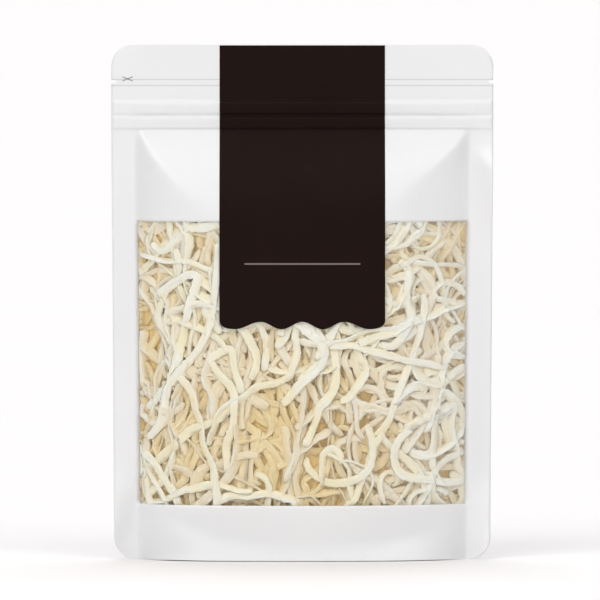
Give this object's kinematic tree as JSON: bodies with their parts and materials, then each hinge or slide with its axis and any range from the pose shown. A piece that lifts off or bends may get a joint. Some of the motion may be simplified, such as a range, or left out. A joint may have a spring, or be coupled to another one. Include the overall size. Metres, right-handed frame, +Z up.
{
  "type": "stand-up pouch of shredded dried squid",
  "caption": "White film zip pouch standing on its gusseted foot, filled with pale curly shreds of dried squid that show through a wide clear window below a dark label.",
  "frame": {"origin": "on the surface that the pouch stands on, under the middle of its foot", "axes": "+Z up, from the foot to the top seal; -Y towards the front with the window; +X to the right as seen from the front"},
  "size_m": [0.201, 0.0455, 0.271],
  "materials": {
    "film": "white laminated film with a soft satin shine",
    "window": "clear thin film",
    "squid": "dry fibrous cream shreds, golden where they lie deep",
    "label": "near-black brown print, satin"
  },
  "bodies": {
    "root": {"pouch": "film", "squid_heap": "squid", "label": "label"}
  },
  "joints": []
}
